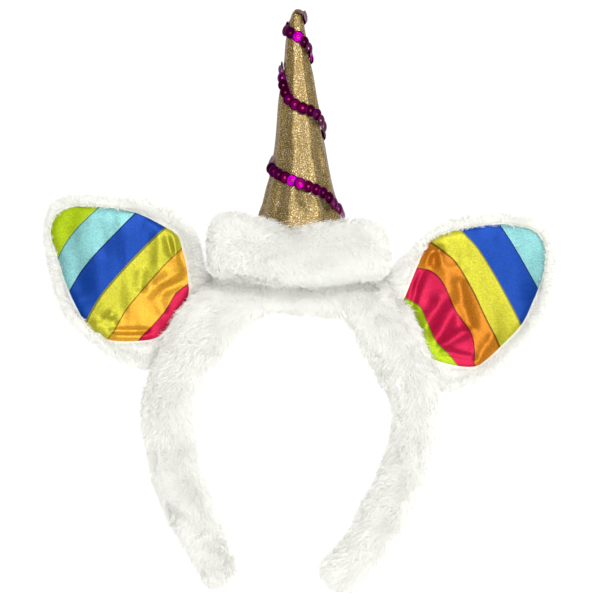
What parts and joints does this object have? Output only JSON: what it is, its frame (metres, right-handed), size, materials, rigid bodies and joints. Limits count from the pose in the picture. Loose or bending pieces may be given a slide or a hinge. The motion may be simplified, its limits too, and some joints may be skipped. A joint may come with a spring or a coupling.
{
  "type": "costume headband",
  "caption": "Plush costume headband with a stuffed unicorn horn wound with sequins and satin-lined ears with rainbow stripes.",
  "frame": {"origin": "middle of the headband's outline, on the surface that its back lies on", "axes": "+Y from the legs' tips towards the horn's tip, +Z out of the front, +X to the right as its front is seen"},
  "size_m": [0.2568, 0.2892, 0.0465],
  "materials": {
    "white_plush": "long-pile white plush, matte",
    "striped_satin": "satin in broad stripes of lime, pale blue, blue, yellow, orange and magenta",
    "gold_lame": "metallic gold lame cloth with a fine rib",
    "magenta_sequin": "glossy metallised magenta sequins"
  },
  "bodies": {
    "root": {"band_sleeve": "white_plush", "horn_pad": "white_plush", "horn": "gold_lame", "sequin_string": "magenta_sequin", "ear_left": "white_plush", "ear_right": "white_plush", "ear_lining_left": "striped_satin", "ear_lining_right": "striped_satin"}
  },
  "joints": []
}
